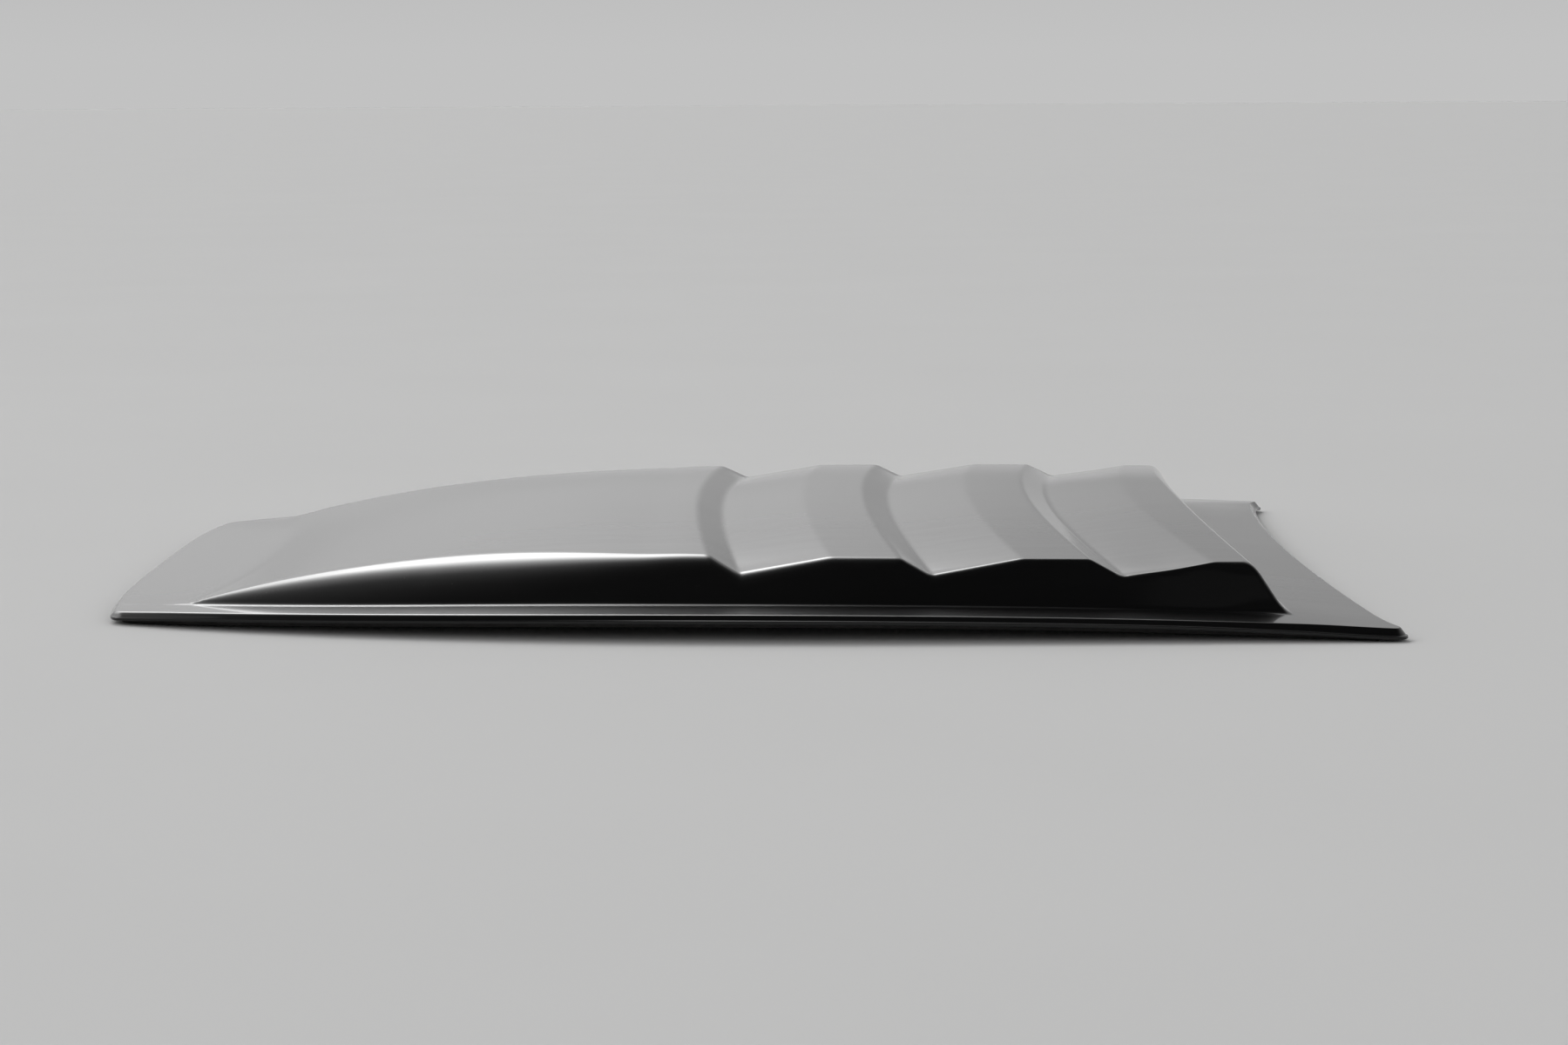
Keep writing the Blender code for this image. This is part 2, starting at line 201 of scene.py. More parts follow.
def column_plan():
    """Columns across the scoop, front to rear: (kind, share, louvre position)."""
    lead = PEAKS[0] - 0.030
    span = lead - FRONT_X
    cols = [("front", s / span, 0.0) for s in CORNER_STEPS]
    cols += [("front", t, 0.0) for t in np.linspace(0.034 / span, 1, 68, endpoint=False)]
    start = lead
    for peak in PEAKS:
        valley, ridge = peak + STEP_LENGTH, peak + RAMP_END
        for low, high, count in ((start, peak - 0.008, 8), (peak - 0.008, peak + 0.008, 11),
                                 (peak + 0.008, valley - 0.008, 6), (valley - 0.008, valley + 0.008, 11),
                                 (valley + 0.008, ridge - 0.008, 11), (ridge - 0.008, ridge + 0.008, 8)):
            cols += [("louvre", 0.0, x) for x in np.linspace(low, high, count, endpoint=False)]
        start = ridge + 0.008
    cols += [("rear", t, start) for t in np.linspace(0, 1, 42, endpoint=False)]
    tail = 0.060
    cols += [("deck", 1 - s / tail, 0.0) for s in (0.060, 0.052, 0.045, 0.039, 0.033) + CORNER_STEPS[::-1]]
    if len(cols) % 2 == 0:
        cols.insert(40, ("front", (cols[39][1] + cols[40][1]) / 2, 0.0))
    return cols, lead, start


def row_plan():
    """Rows along one half, centre line to rim: (kind, value)."""
    near = (-1.0, -0.84, -0.70, -0.57, -0.46, -0.36, -0.27, -0.19, -0.12, -0.06, 0.0, 0.06, 0.12, 0.19, 0.27, 0.36,
            0.46, 0.57, 0.70, 0.84, 1.0)
    rows = [("top", t) for t in np.linspace(0, 1, 18, endpoint=False)]
    rows += [("shoulder", s) for s in near]
    rows += [("wall", t) for t in (0.2, 0.4, 0.6, 0.8)]
    rows += [("foot", s) for s in (-0.0060, -0.0046, -0.0034, -0.0025, -0.0017, -0.0009, -0.0001, 0.0007,
                                   0.0015, 0.0025, 0.0040, 0.0065, 0.0100, 0.0145)]
    rows += [("foot", FLANGE - LIP_ROLL - s) for s in CORNER_STEPS[::-1]]
    return rows


def shoulder_line(x):
    """(inset of the line where wall and top would meet, half width of the rounding there)."""
    f = np.clip((x - FRONT_FOOT) / RISE_LENGTH, 0.0, 1.0)
    rising = LIP_TOP + crown(x) + RISE_HEIGHT * (1 - (1 - f) ** 2.7)
    flat = TOP_LEVEL - TOP_FALL * (x + 0.05)
    level = rising + (flat - rising) * smoothstep((x + 0.10) / 0.06)
    height = level - LIP_TOP - crown(x) - 0.0045 - 0.006 * smoothstep((x + 0.05) / 0.05)
    tail = smoothstep((x - 0.50) / 0.08)
    height = np.maximum(height, 0.010) * (1 - tail) + 0.030 * tail
    spread = np.clip(0.035 - 0.0215 * smoothstep((x + 0.27) / 0.24) - 0.009 * np.clip((x + 0.05) / 0.47, 0, 1), 0.006, 0.04)
    spread = np.minimum(spread + 0.006 * smoothstep((x - 0.44) / 0.06), 0.9 * height)
    slope = wall_slope(x)
    return FLANGE + height / slope, np.minimum(1.05 * spread / slope, height / slope - 0.0068)


def plan_points():
    cols, lead, last = column_plan()
    rows = row_plan()
    kinds = ("top", "shoulder", "wall", "foot")
    kind = np.array([kinds.index(r[0]) for r in rows])[None, :]
    t = np.array([float(r[1]) for r in rows])[None, :]
    ckinds = ("front", "louvre", "rear", "deck")
    ckind = np.array([ckinds.index(c[0]) for c in cols])[:, None]
    ct = np.array([float(c[1]) for c in cols])[:, None]
    cx = np.array([float(c[2]) for c in cols])[:, None]
    x = np.zeros((len(cols), len(rows)))
    for _ in range(40):
        width = half_width(x)
        shoulder, foot = width - shoulder_inset(x), width - FLANGE
        inset, spread = shoulder_line(x)
        bend, inner = width - inset, np.maximum(spread * 1.15, 0.014)
        low = bend + spread
        y = np.select(
            [kind == 0, kind == 1, kind == 2],
            [t * (bend - inner), bend + t * np.where(t < 0, inner, spread), low + t * (foot - 0.0060 - low)],
            foot + t,
        )
        k = np.clip(1 - (y / shoulder) ** 2, -0.4, 1)
        v = y / width
        arc = cx - (SAG + SAG_PER_M * cx) * k
        edge = front_edge(v) + LIP_ROLL
        first = lead - (SAG + SAG_PER_M * lead) * k
        foot_x = REAR_FOOT - REAR_FOOT_SWEEP * k
        face, back = np.maximum(foot_x - 0.052, arc + 0.012), rear_edge(v) - LIP_ROLL
        deck = back - 0.060
        rear = np.where(ct < 0.22, arc + (face - arc) * ct / 0.22, face + (deck - face) * (ct - 0.22) / 0.78)
        x = np.select(
            [ckind == 0, ckind == 1, ckind == 2],
            [edge + (first - edge) * ct, arc, rear],
            deck + (back - deck) * ct,
        )
    return x, y


def round_corner(px, py, column):
    """Turns the plan's outer corner at this column into an arc, and eases the points near it."""
    pts = np.stack([px, py], -1)
    last = px.shape[1] - 1
    step = 1 if column == 0 else -1
    origin = pts[column, last].copy()
    along = pts[column + step * 7, last] - origin
    across = pts[column, last - 7] - origin
    along, across = along / np.linalg.norm(along), across / np.linalg.norm(across)
    half = math.acos(float(np.clip(along @ across, -1, 1))) / 2
    radius = (CORNER_FRONT if column == 0 else CORNER_REAR) - LIP_ROLL
    reach = radius / math.tan(half)
    middle = along + across
    centre = origin + middle / np.linalg.norm(middle) * radius / math.sin(half)

    def to_arc(line):
        gap = np.linalg.norm(line - origin, axis=-1)
        out = line - centre
        moved = centre + out / np.linalg.norm(out, axis=-1, keepdims=True) * radius
        return np.where((gap < reach)[:, None], moved - line, 0.0)

    side, end = to_arc(pts[:, last]), to_arc(pts[column])
    zone = 0.022
    near_side = np.clip(1 - np.linalg.norm(pts - pts[:, last:last + 1], axis=-1) / zone, 0, 1) ** 2
    near_end = np.clip(1 - np.linalg.norm(pts - pts[column:column + 1], axis=-1) / zone, 0, 1) ** 2
    pts = pts + side[:, None] * near_side[..., None] + end[None] * near_end[..., None]
    pts -= end[last] * (near_side * near_end)[..., None]
    return pts[..., 0], pts[..., 1]


def slopes(x, y):
    """Outward normals of the outer surface."""
    step = 2e-4
    dzdx = (surface(x + step, y) - surface(x - step, y)) / (2 * step)
    dzdy = (surface(x, y + step) - surface(x, y - step)) / (2 * step)
    normal = np.stack([-dzdx, -dzdy, np.ones_like(x)], -1)
    return normal / np.linalg.norm(normal, axis=-1, keepdims=True)


def rim_of(index):
    """The border of a grid of indices, counter-clockwise seen from above."""
    return np.concatenate([index[:, 0], index[-1, 1:], index[-2::-1, -1], index[0, -2:0:-1]])


def grid_faces(index, flip=False):
    a, b, c, d = index[:-1, :-1], index[1:, :-1], index[1:, 1:], index[:-1, 1:]
    quads = np.stack([a, b, c, d], -1).reshape(-1, 4)
    return [tuple(int(q) for q in (f[::-1] if flip else f)) for f in quads]


def mesh_object(name, verts, faces, normals=None):
    mesh = bpy.data.meshes.new(name)
    mesh.from_pydata([tuple(p) for p in verts], [], faces)
    mesh.shade_smooth()
    if normals is not None:
        mesh.normals_split_custom_set_from_vertices([tuple(p) for p in normals])
    obj = bpy.data.objects.new(name, mesh)
    bpy.context.scene.collection.objects.link(obj)
    return obj


def lip_profile(x, tilt):
    """Rings of the rolled lip, from the rim out and down: (out, down, normal out, normal up) of each.

    A wide roll, a leaning face, a ledge, a bead whose outermost line is the outline, the short
    upright side, a round bottom edge, the underside, and the inner wall back to the inner face."""
    one = np.ones_like(x)
    lean = math.radians(LIP_LEAN)
    rearward = smoothstep((x + 0.45) / 0.45)
    ledge = np.radians(LIP_LEDGE_FRONT + (LIP_LEDGE_REAR - LIP_LEDGE_FRONT) * rearward)
    shelf = 0.0009 + 0.0009 * rearward
    deeper = LIP_DEEPER * smoothstep((x - 0.42) / 0.18)
    bead = 0.0011
    # the roll's radius and the face's length that bring the bead to the outline at its level
    left_out = LIP_ROLL - LIP_IN - shelf * np.cos(ledge) - bead * (1 - np.sin(ledge))
    left_down = 0.0063 + deeper - shelf * np.sin(ledge) - bead * np.cos(ledge)
    a, b = math.sin(lean) - np.sin(tilt), np.cos(tilt) - math.cos(lean)
    c, d = math.cos(lean), math.sin(lean)
    radius = (left_out * d - c * left_down) / (a * d - b * c)
    face = (a * left_down - b * left_out) / (a * d - b * c)
    rings = []

    def ring(out, down, angle):
        rings.append((out, -down, np.sin(angle), np.cos(angle)))

    for t in np.linspace(0, 1, 10)[1:]:
        angle = tilt + (lean - tilt) * t
        out, down = radius * (np.sin(angle) - np.sin(tilt)), radius * (np.cos(tilt) - np.cos(angle))
        ring(out, down, angle)
    for share in (0.45, 0.9):
        ring(out + face * share * c, down + face * share * d, lean * one)
    out, down = out + face * c, down + face * d
    ring(out + shelf * 0.12 * np.cos(ledge), down + shelf * 0.12 * np.sin(ledge), (lean + 2 * ledge) / 3)
    for share in (0.3, 0.9):
        ring(out + shelf * share * np.cos(ledge), down + shelf * share * np.sin(ledge), ledge)
    out, down = out + shelf * np.cos(ledge), down + shelf * np.sin(ledge)
    for t in np.linspace(0, 1, 7)[1:]:
        angle = ledge + (math.pi / 2 - ledge) * t
        ring(out + bead * (np.sin(angle) - np.sin(ledge)), down + bead * (np.cos(ledge) - np.cos(angle)), angle)
    low, edge, reach = LIP_HEIGHT + deeper, 0.0011, LIP_ROLL - LIP_IN
    for t in np.linspace(0, 1, 6):
        angle = math.pi / 2 * (1 + t)
        ring((reach - edge * (1 - math.sin(angle))) * one, low - edge * (1 + math.cos(angle)), angle * one)
    inner = LIP_ROLL - LIP_IN - WALL
    for t in np.linspace(0, 1, 4):
        angle = math.pi * (1 + t / 2)
        ring((inner + 0.0005 * (1 + math.sin(angle))) * one, low - 0.0005 * (1 + math.cos(angle)), angle * one)
    # inner wall, then a roll inside the outer one back to the rim
    for t in np.linspace(0, 1, 6):
        angle = math.pi / 2 * (1 - t) + tilt * t
        drop = (np.cos(tilt) - np.cos(angle)) / np.cos(tilt)
        rings.append((inner * (np.sin(angle) - np.sin(tilt)) / (1 - np.sin(tilt)), -WALL - 0.0030 * drop,
                      -np.sin(angle), -np.cos(angle)))
    return rings


def build_skin():
    px, py = plan_points()
    for column in (0, px.shape[0] - 1):
        px, py = round_corner(px, py, column)
    n = px.shape[0]
    x = np.concatenate([px[:, :0:-1], px], 1)
    y = np.concatenate([-py[:, :0:-1], py], 1)
    m = x.shape[1]
    z = surface(x, y)
    normal = slopes(x, y)
    skin = np.stack([x, y, z], -1)
    verts, normals = [skin.reshape(-1, 3)], [normal.reshape(-1, 3)]
    index = np.arange(n * m).reshape(n, m)
    faces = grid_faces(index)
    count = n * m

    # the rolled lip: rings that leave the rim outwards, turn down, and come back up inside
    rim = rim_of(index)
    ring, ring_normal = verts[0][rim], normals[0][rim]
    tangent = (np.roll(ring, -1, 0) - np.roll(ring, 1, 0))[:, :2]
    tangent /= np.linalg.norm(tangent, axis=1, keepdims=True)
    out = np.stack([tangent[:, 1], -tangent[:, 0]], 1)
    tilt = np.arctan2((ring_normal[:, :2] * out).sum(1), ring_normal[:, 2])
    profile = lip_profile(ring[:, 0], tilt)
    rings = [rim]
    size = len(rim)
    for off, down, normal_out, normal_up in profile:
        points = ring.copy()
        points[:, :2] += out * off[:, None]
        points[:, 2] += down
        verts.append(points)
        normals.append(np.concatenate([out * normal_out[:, None], normal_up[:, None]], 1))
        rings.append(np.arange(count, count + size))
        count += size
    for a, b in zip(rings, rings[1:]):
        quads = np.stack([a, b, np.roll(b, -1), np.roll(a, -1)], 1)
        faces += [tuple(int(q) for q in f) for f in quads]

    # inner face: every second line, one wall thickness in along the normal
    under = (skin - normal * WALL)[::2, ::2].copy()
    under_normal = -normal[::2, ::2].copy()
    size_n, size_m = under.shape[:2]
    index = np.arange(count, count + size_n * size_m).reshape(size_n, size_m)
    inside = rim_of(index) - count
    flat = under.reshape(-1, 3)
    flat[inside] = verts[-1][::2]
    flat[inside, :2] -= out[::2] * 0.0010
    verts.append(flat)
    normals.append(under_normal.reshape(-1, 3))
    faces += grid_faces(index, flip=True)
    edge, last = inside + count, rings[-1]
    for i in range(len(edge)):
        a, b = int(edge[i]), int(edge[(i + 1) % len(edge)])
        f, g, h = (int(last[(2 * i + d) % size]) for d in (0, 1, 2))
        faces += [(f, a, g), (a, b, g), (g, b, h)]
    verts, normals = np.concatenate(verts), np.concatenate(normals)
    verts[:, 0] += SHIFT_X
    return verts, faces, normals


verts, faces, normals = build_skin()
scoop = mesh_object("scoop", verts, faces, normals)
print("skin", len(verts), "verts", sum(len(f) - 2 for f in faces), "triangles")
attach(scoop, "root")
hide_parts("scoop_shell")


# ------------------------------------------------- rubber seal and foam strips
def rear_line(v):
    return REAR_X + REAR_SWEEP * v * v


def side_slope(x):
    return (half_width(x + 1e-4) - half_width(x - 1e-4)) / 2e-4


def side_point(x, inset):
    return float(x), float(half_width(x) - inset * math.hypot(side_slope(x), 1.0))


def end_point(end, y, inset):
    x = 0.6 * end
    for _ in range(20):
        v = abs(y) / half_width(x)
        x = front_edge(v) + inset if end < 0 else rear_line(v) - inset
    return float(x), float(y)


def loop(inset, along, across):
    """Points round the outline at this inset, counter-clockwise, with its corners eased."""
    ends = []
    for end in (-1, 1):
        x = 0.6 * end
        for _ in range(40):
            y = side_point(x, inset)[1]
            v = y / half_width(x)
            x = front_edge(v) + inset if end < 0 else rear_line(v) - inset
        ends.append((float(x), y))
    (x0, y0), (x1, y1) = ends
    near = [side_point(x, inset) for x in np.linspace(x0, x1, along, endpoint=False)]
    points = [(x, -y) for x, y in near]
    points += [end_point(1, y, inset) for y in np.linspace(-y1, y1, across, endpoint=False)]
    points += [side_point(x, inset) for x in np.linspace(x1, x0, along, endpoint=False)]
    points += [end_point(-1, y, inset) for y in np.linspace(y0, -y0, across, endpoint=False)]
    points = np.array(points)
    for _ in range(3):
        points = 0.5 * points + 0.25 * (np.roll(points, 1, 0) + np.roll(points, -1, 0))
    return points


def sweep(name, path, profile, closed, rounding=0.0):
    """A band along a plan path: the profile is (out, share of the height), from the panel to the shell."""
    path = np.array(path)
    inset = np.zeros(len(path))
    if closed:
        tangent = np.roll(path, -1, 0) - np.roll(path, 1, 0)
    else:
        turn_in = np.linspace(0, math.pi / 2, 6)[:-1]
        start, stop = path[1] - path[0], path[-1] - path[-2]
        start, stop = start / np.linalg.norm(start), stop / np.linalg.norm(stop)
        first = [path[0] + start * rounding * (1 - math.cos(t)) for t in turn_in]
        last = [path[-1] - stop * rounding * (1 - math.cos(t)) for t in turn_in]
        body = path[(np.linalg.norm(path - path[0], axis=1) > rounding) & (np.linalg.norm(path - path[-1], axis=1) > rounding)]
        ease = [rounding * (1 - math.sin(t)) for t in turn_in]
        path = np.concatenate([first, body, last[::-1]])
        inset = np.array(ease + [0.0] * len(body) + ease[::-1])
        tangent = np.gradient(path, axis=0)
    tangent /= np.linalg.norm(tangent, axis=1, keepdims=True)
    out = np.stack([tangent[:, 1], -tangent[:, 0]], 1)
    reach = max(abs(o) for o, _ in profile)
    rings = []
    for o, share in profile:
        where = path + out * (o * (1 - inset / reach))[:, None]
        low = panel(where[:, 0], where[:, 1])
        top = surface(where[:, 0], where[:, 1]) - WALL / math.cos(math.radians(FLANGE_TILT_REAR)) - 0.0006
        height = top - low
        level = 0.5 + (share - 0.5) * (1 - 2 * inset / height)
        rings.append(np.stack([where[:, 0] + SHIFT_X, where[:, 1], low + height * level], 1))
    count, size = len(path), len(profile)
    points = np.stack(rings, 1).reshape(-1, 3)
    faces = []
    for i in range(count if closed else count - 1):
        for j in range(size):
            k, m = (i + 1) % count, (j + 1) % size
            faces.append((i * size + j, k * size + j, k * size + m, i * size + m))
    if not closed:
        faces.append(tuple(range(size)))
        faces.append(tuple(range((count - 1) * size, count * size))[::-1])
    bm = bmesh.new()
    made = [bm.verts.new(tuple(point)) for point in points]
    for face in faces:
        bm.faces.new([made[q] for q in face])
    bmesh.ops.recalc_face_normals(bm, faces=bm.faces[:])
    if bm.calc_volume(signed=True) < 0:
        bmesh.ops.reverse_faces(bm, faces=bm.faces[:])
    mesh = bpy.data.meshes.new(name)
    bm.to_mesh(mesh)
    bm.free()
    mesh.shade_smooth()
    mesh.set_sharp_from_angle(angle=math.radians(42))
    obj = bpy.data.objects.new(name, mesh)
    bpy.context.scene.collection.objects.link(obj)
    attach(obj, "root")
    return obj


def section(half):
    """One side of a section, bottom to top, and its mirror image back down."""
    return list(half) + [(-o, share) for o, share in reversed(half)]


SEAL_SECTION = section((
    (0.0006, 0.085), (0.0011, 0.060), (0.0016, 0.015), (0.0021, 0.0), (0.0027, 0.008), (0.0032, 0.035), (0.0036, 0.080),
    (0.0039, 0.160), (0.0040, 0.260), (0.0039, 0.380), (0.0036, 0.480), (0.0033, 0.540), (0.00305, 0.580), (0.0030, 0.620),
    (0.0031, 0.660), (0.0035, 0.690), (0.0038, 0.720), (0.0040, 0.780), (0.0040, 0.900), (0.0038, 0.960), (0.0034, 0.990),
    (0.0028, 1.0)))
seal = sweep("rubber_seal", loop((SEAL_OUT + SEAL_IN) / 2, 230, 190), SEAL_SECTION, True)
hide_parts("edge_seal")

HALF = (STRIP_IN - STRIP_OUT) / 2
STRIP_SECTION = section((
    (HALF * 0.55, 0.0), (HALF - 0.0003, 0.0), (HALF - 0.0001, 0.012), (HALF - 0.0001, 0.050), (HALF - 0.0003, 0.058),
    (HALF - 0.0006, 0.062), (HALF - 0.0006, 0.075), (HALF - 0.0003, 0.085), (HALF - 0.0001, 0.130), (HALF, 0.260), (HALF, 0.500),
    (HALF, 0.740), (HALF - 0.0001, 0.870), (HALF - 0.0003, 0.915), (HALF - 0.0006, 0.925), (HALF - 0.0006, 0.938),
    (HALF - 0.0003, 0.942), (HALF - 0.0001, 0.950), (HALF - 0.0001, 0.988), (HALF - 0.0003, 1.0), (HALF * 0.55, 1.0)))
MIDDLE = (STRIP_OUT + STRIP_IN) / 2
strips = []
for name, sign in (("near", -1.0), ("far", 1.0)):
    path = [(x, sign * y) for x, y in (side_point(x, MIDDLE) for x in np.linspace(-0.520, 0.560, 140))]
    strips.append((name, sweep("foam_strip_" + name, path, STRIP_SECTION, False, 0.0012)))
for name, end, far in (("front", -1, 0.300), ("rear", 1, 0.440)):
    path = [end_point(end, y, MIDDLE) for y in np.linspace(-far, far, 100)]
    strips.append((name, sweep("foam_strip_" + name, path, STRIP_SECTION, False, 0.0012)))
for name, piece in strips:
    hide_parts("mounting_strip_" + name)


# ---------------------------------------------------------------- materials
class Graph:
    """Short names for the nodes of one material."""

    def __init__(self, name):
        self.material = bpy.data.materials.new(name)
        self.material.use_nodes = True
        self.tree = self.material.node_tree
        self.shader = self.tree.nodes["Principled BSDF"]
        self.place = self.tree.nodes.new("ShaderNodeTexCoord").outputs["Object"]
        normal = self.tree.nodes.new("ShaderNodeNewGeometry").outputs["Normal"]
        split = self.tree.nodes.new("ShaderNodeSeparateXYZ")
        self.tree.links.new(normal, split.inputs[0])
        self.facing_up = split.outputs["Z"]

    def put(self, socket, value):
        if isinstance(value, (int, float, tuple)):
            socket.default_value = value
        else:
            self.tree.links.new(value, socket)

    def noise(self, scale, detail=2.0, rough=0.5, vector=None, distortion=0.0):
        node = self.tree.nodes.new("ShaderNodeTexNoise")
        for key, value in (("Scale", scale), ("Detail", detail), ("Roughness", rough), ("Distortion", distortion)):
            node.inputs[key].default_value = value
        self.put(node.inputs["Vector"], self.place if vector is None else vector)
        return node.outputs["Fac"]

    def stretched(self, scale, turn=(0.0, 0.0, 0.0)):
        node = self.tree.nodes.new("ShaderNodeMapping")
        node.inputs["Scale"].default_value = scale
        node.inputs["Rotation"].default_value = turn
        self.put(node.inputs["Vector"], self.place)
        return node.outputs["Vector"]

    def cells(self, scale, feature="F1", vector=None):
        node = self.tree.nodes.new("ShaderNodeTexVoronoi")
        node.feature = feature
        node.inputs["Scale"].default_value = scale
        self.put(node.inputs["Vector"], self.place if vector is None else vector)
        return node.outputs["Distance"]

    def span(self, value, low, high, to_low=0.0, to_high=1.0):
        node = self.tree.nodes.new("ShaderNodeMapRange")
        node.interpolation_type = "SMOOTHSTEP"
        for key, number in (("From Min", low), ("From Max", high), ("To Min", to_low), ("To Max", to_high)):
            node.inputs[key].default_value = number
        self.put(node.inputs["Value"], value)
        return node.outputs["Result"]

    def math(self, op, a, b):
        node = self.tree.nodes.new("ShaderNodeMath")
        node.operation = op
        self.put(node.inputs[0], a)
        self.put(node.inputs[1], b)
        return node.outputs[0]

    def colour(self, factor, a, b):
        node = self.tree.nodes.new("ShaderNodeMix")
        node.data_type = "RGBA"
        self.put(node.inputs[0], factor)
        self.put(node.inputs[6], a)
        self.put(node.inputs[7], b)
        return node.outputs[2]

    def bump(self, height, distance, strength=1.0, after=None):
        node = self.tree.nodes.new("ShaderNodeBump")
        node.inputs["Distance"].default_value = distance
        node.inputs["Strength"].default_value = strength
        self.put(node.inputs["Height"], height)
        if after is not None:
            self.put(node.inputs["Normal"], after)
        return node.outputs["Normal"]


BASE_ROUGH, BASE_IOR, COAT_ROUGH, COAT_IOR = 0.30, 1.22, 0.07, 1.30


def plastic_material():
    g = Graph("satin_black_plastic")
    shader = g.shader
    under = g.span(g.facing_up, -0.10, -0.45)
    top = g.span(g.facing_up, 0.55, 0.92)
    cloud = g.noise(7.0, 3.0, 0.55)
    smear = g.noise(3.2, 4.0, 0.6, g.stretched((1.0, 5.5, 5.5), (0.0, 0.0, 0.35)), 0.4)
    film = g.math("MULTIPLY", g.span(g.noise(26.0, 6.0, 0.66), 0.42, 0.78), top)
    # settled dust: sparse specks and a thin film
    near = g.span(g.cells(330.0), 0.20, 0.06)
    speck = g.math("MULTIPLY", near, g.span(g.noise(95.0, 2.0, 0.5), 0.60, 0.70))
    dust = g.math("MULTIPLY", speck, top)
    dull = g.math("MULTIPLY", g.math("ADD", g.math("MULTIPLY", film, 0.012), g.math("MULTIPLY", dust, 0.55)), 1.0)
    tint = g.colour(cloud, (0.0026, 0.0026, 0.0028, 1), (0.0040, 0.0040, 0.0041, 1))
    tint = g.colour(dull, tint, (0.115, 0.110, 0.100, 1))
    tint = g.colour(under, tint, (0.0085, 0.0085, 0.0088, 1))
    g.put(shader.inputs["Base Color"], tint)
    # hairline wiping marks, fine across and long along, in two directions
    marks = g.span(g.noise(30.0, 2.0, 0.5, g.stretched((0.22, 34.0, 34.0), (0.0, 0.0, 0.13))), 0.69, 0.75)
    cross = g.span(g.noise(24.0, 2.0, 0.5, g.stretched((30.0, 0.20, 30.0), (0.0, 0.0, -0.30))), 0.71, 0.77)
    marks = g.math("MULTIPLY", g.math("MAXIMUM", marks, cross), g.span(g.noise(5.0, 2.0, 0.5), 0.45, 0.65))
    rough = g.span(smear, 0.30, 0.72, BASE_ROUGH - 0.02, BASE_ROUGH + 0.025)
    rough = g.math("ADD", rough, g.math("MULTIPLY", marks, 0.03))
    rough = g.math("ADD", rough, g.math("MULTIPLY", dull, 0.30))
    rough = g.math("ADD", rough, g.math("MULTIPLY", under, 0.26))
    g.put(shader.inputs["Roughness"], rough)
    # the moulded skin: slow waves of shrinkage, orange peel, a fine grain
    height = g.math("ADD", g.math("MULTIPLY", g.noise(165.0, 2.0, 0.5), 0.75), g.math("MULTIPLY", marks, -0.025))
    normal = g.bump(height, 0.000006)
    normal = g.bump(g.noise(11.0, 1.0, 0.4), 0.00005, 1.0, normal)
    normal = g.bump(g.math("MULTIPLY", g.noise(900.0, 2.0, 0.6), g.math("ADD", g.math("MULTIPLY", under, 7.0), 1.0)), 0.0000022, 1.0, normal)
    g.put(shader.inputs["Normal"], normal)
    shader.inputs["IOR"].default_value = BASE_IOR
    shader.inputs["Coat Weight"].default_value = 1.0
    shader.inputs["Coat IOR"].default_value = COAT_IOR
    shader.inputs["Coat Roughness"].default_value = COAT_ROUGH
    return g.material


def rubber_material():
    g = Graph("black_rubber")
    bloom = g.span(g.noise(38.0, 5.0, 0.65), 0.45, 0.80)
    tint = g.colour(g.noise(9.0, 3.0, 0.5), (0.0045, 0.0045, 0.0045, 1), (0.0075, 0.0074, 0.0072, 1))
    tint = g.colour(g.math("MULTIPLY", bloom, 0.16), tint, (0.060, 0.058, 0.054, 1))
    g.put(g.shader.inputs["Base Color"], tint)
    g.put(g.shader.inputs["Roughness"], g.span(g.noise(60.0, 3.0, 0.6), 0.3, 0.7, 0.58, 0.80))
    # extrusion lines run with the sides, and a fine talc grain lies over them
    lines = g.noise(40.0, 2.0, 0.5, g.stretched((1.0, 1.0, 45.0)))
    normal = g.bump(lines, 0.00005)
    normal = g.bump(g.noise(1500.0, 3.0, 0.6), 0.00003, 1.0, normal)
    g.put(g.shader.inputs["Normal"], normal)
    g.shader.inputs["Specular IOR Level"].default_value = 0.35
    return g.material


def foam_material():
    g = Graph("foam")
    cells = g.cells(1250.0)
    tint = g.colour(g.span(cells, 0.15, 0.62), (0.014, 0.014, 0.015, 1), (0.046, 0.046, 0.049, 1))
    tint = g.colour(g.span(g.noise(12.0, 3.0, 0.6), 0.35, 0.7, 0.0, 0.35), tint, (0.030, 0.029, 0.029, 1))
    g.put(g.shader.inputs["Base Color"], tint)
    g.put(g.shader.inputs["Roughness"], g.span(cells, 0.1, 0.6, 0.98, 0.84))
    normal = g.bump(cells, 0.00022)
    normal = g.bump(g.noise(240.0, 3.0, 0.6), 0.00010, 1.0, normal)
    g.put(g.shader.inputs["Normal"], normal)
    g.shader.inputs["Specular IOR Level"].default_value = 0.2
    return g.material


def floor_material():
    g = Graph("pale_floor")
    tint = g.colour(g.noise(1.3, 4.0, 0.55), (0.66, 0.66, 0.657, 1), (0.68, 0.68, 0.677, 1))
    g.put(g.shader.inputs["Base Color"], tint)
    g.put(g.shader.inputs["Roughness"], g.span(g.noise(2.0, 3.0, 0.5), 0.3, 0.7, 0.86, 0.92))
    g.shader.inputs["Specular IOR Level"].default_value = 0.15
    return g.material


scoop.data.materials.append(plastic_material())
seal.data.materials.append(rubber_material())
foam = foam_material()
for _, piece in strips:
    piece.data.materials.append(foam)

# -------------------------------------------------------------------- stage
floor_mesh = bpy.data.meshes.new("floor")
S = 200.0
floor_mesh.from_pydata([(-S, -S, 0), (S, -S, 0), (S, S, 0), (-S, S, 0)], [], [(0, 1, 2, 3)])
floor = bpy.data.objects.new("floor", floor_mesh)
bpy.context.scene.collection.objects.link(floor)
floor.data.materials.append(floor_material())

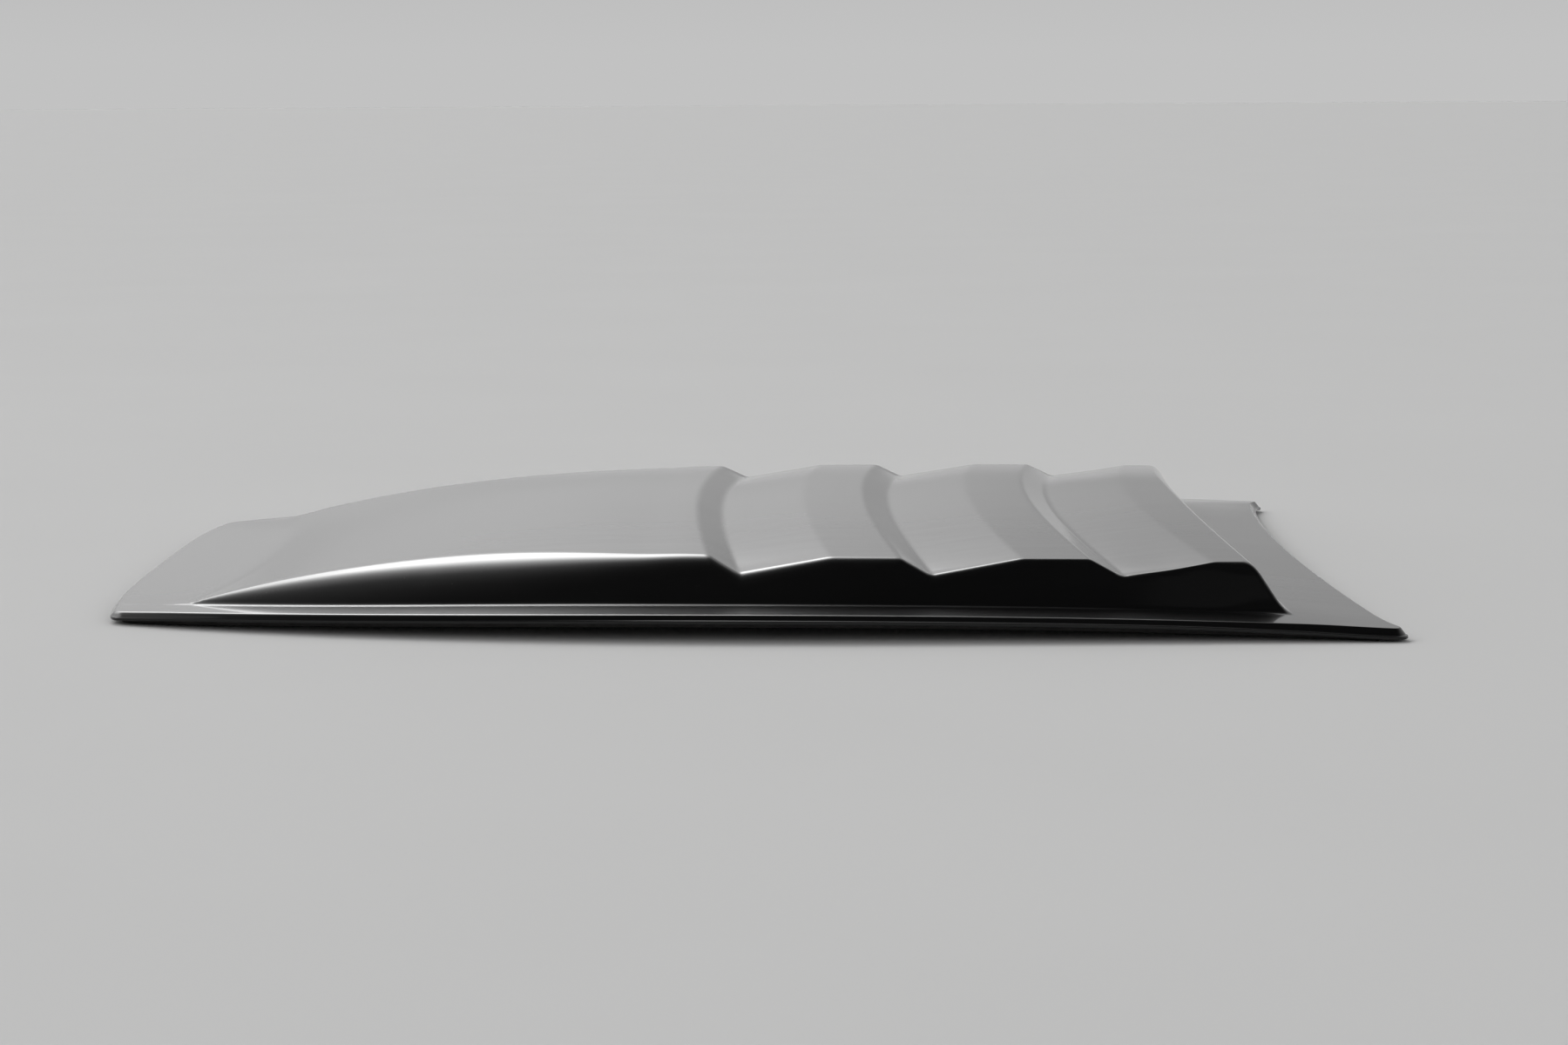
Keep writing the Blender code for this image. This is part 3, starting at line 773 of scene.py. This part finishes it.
# -------------------------------------------------------------------- light
# brightness of the surroundings: by elevation in degrees on the far side and on the near side, and
# by azimuth from straight ahead, low and high
FAR_SKY = ((-90, 0.54), (0, 0.54), (1.0, 0.54), (2.8, 0.48), (5, 0.54), (8, 0.585), (10, 0.60), (12, 0.64), (15, 0.75), (18, 1.0),
           (21, 2.0), (24, 3.9), (30, 4.6), (36, 8.1), (42, 6.5), (50, 2.6), (60, 0.35), (72, 0.06), (80, 0.08), (85, 0.05), (90, 0.05))
NEAR_SKY = ((-90, 0.54), (0, 0.54), (3, 0.54), (14, 0.72), (28, 0.85), (40, 0.60), (50, 0.15), (60, 0.03), (80, 0.04), (90, 0.05))
SIDE_LOW = ((-180, 1.13), (-9, 1.13), (-4, 1.1), (-1, 1.06), (1, 0.99), (2.5, 0.93), (4, 0.84), (6, 0.81), (9, 0.79), (180, 0.77))
SIDE_HIGH = ((-180, 0.45), (-30, 0.48), (-22, 0.60), (-16, 0.95), (-12, 1.05), (-8, 1.1), (-5, 0.9), (-3, 0.8), (0, 0.42), (3, 0.25), (6, 0.22), (10, 0.10), (180, 0.08))
world = bpy.data.worlds.new("studio")
bpy.context.scene.world = world
world.use_nodes = True
nt = world.node_tree
nt.nodes.clear()
coord = nt.nodes.new("ShaderNodeTexCoord")
sep = nt.nodes.new("ShaderNodeSeparateXYZ")
nt.links.new(coord.outputs["Generated"], sep.inputs[0])


def math_node(op, a, b=None, c=None, clamp=False):
    node = nt.nodes.new("ShaderNodeMath")
    node.operation = op
    node.use_clamp = clamp
    for socket, value in zip(node.inputs, (a, b, c)):
        if value is None:
            continue
        if isinstance(value, (int, float)):
            socket.default_value = value
        else:
            nt.links.new(value, socket)
    return node.outputs[0]


def ramp(value, stops):
    node = nt.nodes.new("ShaderNodeValToRGB")
    node.color_ramp.interpolation = "LINEAR"
    els = node.color_ramp.elements
    while len(els) > 1:
        els.remove(els[-1])
    els[0].position = stops[0][0]
    els[0].color = (stops[0][1],) * 3 + (1,)
    for pos, val in stops[1:]:
        e = els.new(pos)
        e.color = (val,) * 3 + (1,)
    nt.links.new(value, node.inputs[0])
    return node.outputs[0]


elevation = math_node("MULTIPLY_ADD", math_node("ARCSINE", sep.outputs["Z"]), 1 / math.pi, 0.5)
azimuth = math_node("MULTIPLY_ADD", math_node("ARCTAN2", sep.outputs["X"], sep.outputs["Y"]), 0.5 / math.pi, 0.5)
TOP = 12.0


def by_elevation(stops):
    return ramp(elevation, [((deg + 90) / 180, value / TOP) for deg, value in stops])


def by_azimuth(stops):
    return ramp(azimuth, [((deg + 180) / 360, value) for deg, value in stops])


def blend(factor, a, b, kind="MIX"):
    node = nt.nodes.new("ShaderNodeMix")
    node.data_type = "RGBA"
    node.blend_type = kind
    if isinstance(factor, (int, float)):
        node.inputs[0].default_value = factor
    else:
        nt.links.new(factor, node.inputs[0])
    nt.links.new(a, node.inputs[6])
    nt.links.new(b, node.inputs[7])
    return node.outputs[2]


def map_range(value, low, high, kind="SMOOTHSTEP"):
    node = nt.nodes.new("ShaderNodeMapRange")
    node.interpolation_type = kind
    node.inputs["From Min"].default_value = low
    node.inputs["From Max"].default_value = high
    nt.links.new(value, node.inputs["Value"])
    return node.outputs[0]


far_sky = by_elevation(FAR_SKY)
near_sky = by_elevation(NEAR_SKY)
high = map_range(elevation, (12 + 90) / 180, (28 + 90) / 180)
side = blend(high, by_azimuth(SIDE_LOW), by_azimuth(SIDE_HIGH))
side = blend(map_range(elevation, (2.0 + 90) / 180, (3.5 + 90) / 180), by_azimuth(((-180, 1.0), (180, 1.0))), side)
far_sky = blend(1.0, far_sky, side, "MULTIPLY")
sky = blend(map_range(sep.outputs["Y"], -0.04, 0.04), near_sky, far_sky)
bg = nt.nodes.new("ShaderNodeBackground")
bg.inputs["Strength"].default_value = TOP
nt.links.new(sky, bg.inputs["Color"])
outp = nt.nodes.new("ShaderNodeOutputWorld")
nt.links.new(bg.outputs[0], outp.inputs[0])


def area(name, location, target, size, size_y, power, spread_deg=180):
    light = bpy.data.lights.new(name, "AREA")
    light.shape = "RECTANGLE"
    light.size, light.size_y = size, size_y
    light.energy = power
    light.spread = math.radians(spread_deg)
    obj = bpy.data.objects.new(name, light)
    bpy.context.scene.collection.objects.link(obj)
    obj.location = location
    obj.rotation_euler = (Vector(target) - Vector(location)).to_track_quat("-Z", "Y").to_euler()
    return obj


# radiance of an area light = power / (pi * area) / pi ... set from the radiance wanted
def softbox(name, azimuth, elevation, distance, width, height, radiance):
    a, e = math.radians(azimuth), math.radians(elevation)
    loc = (distance * math.sin(a) * math.cos(e), distance * math.cos(a) * math.cos(e), distance * math.sin(e))
    return area(name, loc, (0, 0, 0.05), width, height, radiance * math.pi * width * height)


softbox("fill", -100, 38, 7.0, 3.0, 3.0, 0.6)

scene = bpy.context.scene
scene.view_settings.view_transform = "Standard"
scene.view_settings.look = "None"
scene.view_settings.exposure = 0.0
scene.view_settings.gamma = 1.0
